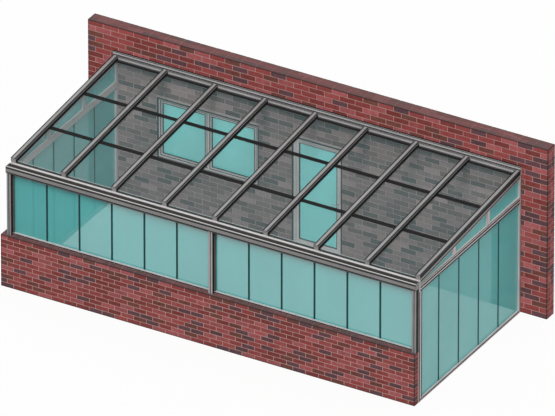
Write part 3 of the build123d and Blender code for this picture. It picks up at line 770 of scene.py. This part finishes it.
# The function that makes the finish, its name, its dark and light tones, the pieces
FINISHES = [
    (powder_coat, "aluminium_house", (0.62, 0.61, 0.61), (0.72, 0.70, 0.70),
     ["window_frame", "window_sashes", "door_frame", "door_leaf"]),
    # Dark all over: the shade on the corner posts' sides painted into their colour
    (powder_coat, "aluminium_corners", (0.24, 0.23, 0.23), (0.29, 0.28, 0.28), ["corner_posts"]),
    (powder_coat, "aluminium_middle", (0.36, 0.35, 0.35), (0.44, 0.42, 0.42), ["middle_post"]),
    (powder_coat, "aluminium_sills", (0.66, 0.64, 0.64), (0.76, 0.74, 0.74), ["front_sills"]),
    # Near black: the shadow under the gutter painted onto the front heads, and the jambs share it
    (powder_coat, "aluminium_front", (0.07, 0.07, 0.07), (0.11, 0.11, 0.11),
     ["front_heads", "front_jambs"]),
    # The gutter's upward faces are painted pale: painted light
    (top_lit_coat, "aluminium_gutter", (0.20, 0.19, 0.19), (0.24, 0.23, 0.23),
     ["gutter", "gutter_ends"]),
    # The rafters' shoulders are painted dark: painted shade of the caps
    (shoulder_shaded_coat, "aluminium_rafters", (0.24, 0.235, 0.235), (0.30, 0.29, 0.29), ["rafters"]),
    (powder_coat, "aluminium_caps", (0.285, 0.285, 0.285), (0.335, 0.33, 0.33), ["rafter_caps"]),
    (powder_coat, "aluminium_ledger", (0.50, 0.49, 0.49), (0.60, 0.58, 0.58), ["wall_ledger"]),
    (powder_coat, "aluminium_flashing", (0.10, 0.10, 0.10), (0.13, 0.13, 0.13),
     ["ledger_flashings"]),
    (powder_coat, "aluminium_side", (0.54, 0.51, 0.51), (0.64, 0.60, 0.60), side_metal),
    (seal, "joint_seal", (0.008, 0.032, 0.032), (0.016, 0.046, 0.046),
     ["front_pane_joints"] + [f"{side}_side_pane_joints" for side in both_sides]),
    (seal, "black_seal", (0.006, 0.006, 0.007), (0.016, 0.015, 0.015),
     ["glazing_bars", "roof_seals", "ledger_seals", "front_seals", "window_seals",
      "door_frame_seal", "door_pane_seal"] + [f"{side}_side_seals" for side in both_sides]),
    (lining, "gutter_lining", (0.006, 0.006, 0.007), (0.016, 0.015, 0.015), ["gutter_seals"]),
]
for make, name, dark, light, pieces in FINISHES:
    dress(make(name, dark, light), *pieces)
dress(brushed("handle_steel"), "door_handles")
# The finish, its dark and light tones, how much it veils what lies behind, the pieces
PANES = [
    ("front_glass", (0.078, 0.43, 0.425), (0.088, 0.47, 0.465), 0.60,
     ["front_panes_left", "front_panes_right"]),
    ("side_glass", (0.14, 0.53, 0.52), (0.155, 0.58, 0.57), 0.735,
     [f"{side}_{part}" for side in both_sides for part in ("side_panes", "gable_panes")]),
    ("house_glass", (0.19, 0.80, 0.78), (0.21, 0.88, 0.86), 0.75, ["window_panes", "door_pane"]),
    ("roof_glass", (0.14, 0.23, 0.23), (0.15, 0.25, 0.25), 0.163, ["roof_panes"]),
]
for name, dark, light, alpha, pieces in PANES:
    dress(tinted_glass(name, dark, light, alpha), *pieces)


# Floor, light and camera

def seen_directly(n):
    """1 for what the eye sees, straight, mirrored or through glass, 0 for light cast about."""
    path = n.add("ShaderNodeLightPath").outputs
    mirrored = n.math("MAXIMUM", path["Is Glossy Ray"], path["Is Transmission Ray"])
    return n.math("MAXIMUM", path["Is Camera Ray"], mirrored)


def white_floor():
    """White to the eye, with a faint shadow, but dim where it throws light on the object."""
    material, n, shader, place = new_material("white_floor")
    cloud = n.noise(place, scale=0.4, detail=2.0)
    dim = n.tint(cloud, *FLOOR_DIM)
    pale = n.tint(cloud, *FLOOR_PALE)
    shader.inputs["Roughness"].default_value = FLOOR_ROUGHNESS
    shader.inputs["Specular IOR Level"].default_value = 0.0
    seen = seen_directly(n)
    n.feed(shader.inputs["Base Color"], n.mix(seen, dim, pale))
    glow = n.add("ShaderNodeEmission", {"Color": (1, 1, 1, 1), "Strength": 1.0})
    amount = n.math("MULTIPLY", seen, FLOOR_GLOW)
    both = n.add("ShaderNodeMixShader", {0: amount, 1: shader.outputs[0], 2: glow.outputs[0]})
    output = [node for node in material.node_tree.nodes if node.type == "OUTPUT_MATERIAL"][0]
    n.feed(output.inputs["Surface"], both.outputs[0])
    return material


floor = mesh_object(
    "floor",
    [
        (x * FLOOR_REACH, y * FLOOR_REACH, -FLOOR_DROP)
        for x, y in ((-1, -1), (1, -1), (1, 1), (-1, 1))
    ],
    [(0, 1, 2, 3)],
    white_floor(),
)

world = bpy.data.worlds.new("studio")
bpy.context.scene.world = world
world.use_nodes = True
sky = Nodes(world.node_tree)
background = world.node_tree.nodes["Background"]
background.inputs["Color"].default_value = (1, 1, 1, 1)
sky.feed(background.inputs["Strength"], sky.span(seen_directly(sky), 0.0, 1.0, WORLD_LEVEL, 1.0))


def sun(name, strength, turn, rise, softness):
    """A soft sun from a compass turn and a height, both in degrees."""
    light = bpy.data.lights.new(name, "SUN")
    light.energy = strength
    light.angle = math.radians(softness)
    lamp = bpy.data.objects.new(name, light)
    lamp.rotation_euler = (math.radians(90 - rise), 0, math.radians(turn))
    bpy.context.scene.collection.objects.link(lamp)


sun("key_light", strength=2.1, turn=18, rise=54, softness=24)
sun("fill_light", strength=0.35, turn=60, rise=35, softness=60)

camera_data = bpy.data.cameras.new("camera")
camera_data.lens = LENS
camera_data.sensor_width = SENSOR
distance = LENS / SENSOR * FRAME_WIDTH
camera_data.clip_start = distance / 10
camera_data.clip_end = distance * 2
camera = bpy.data.objects.new("camera", camera_data)
bpy.context.scene.collection.objects.link(camera)
back = Vector((
    math.sin(VIEW_TURN) * math.cos(VIEW_RISE),
    -math.cos(VIEW_TURN) * math.cos(VIEW_RISE),
    math.sin(VIEW_RISE),
))
camera.location = AIM + back * distance
camera.rotation_euler = (math.pi / 2 - VIEW_RISE, 0, VIEW_TURN)
bpy.context.scene.camera = camera
bpy.context.scene.view_settings.view_transform = "Standard"
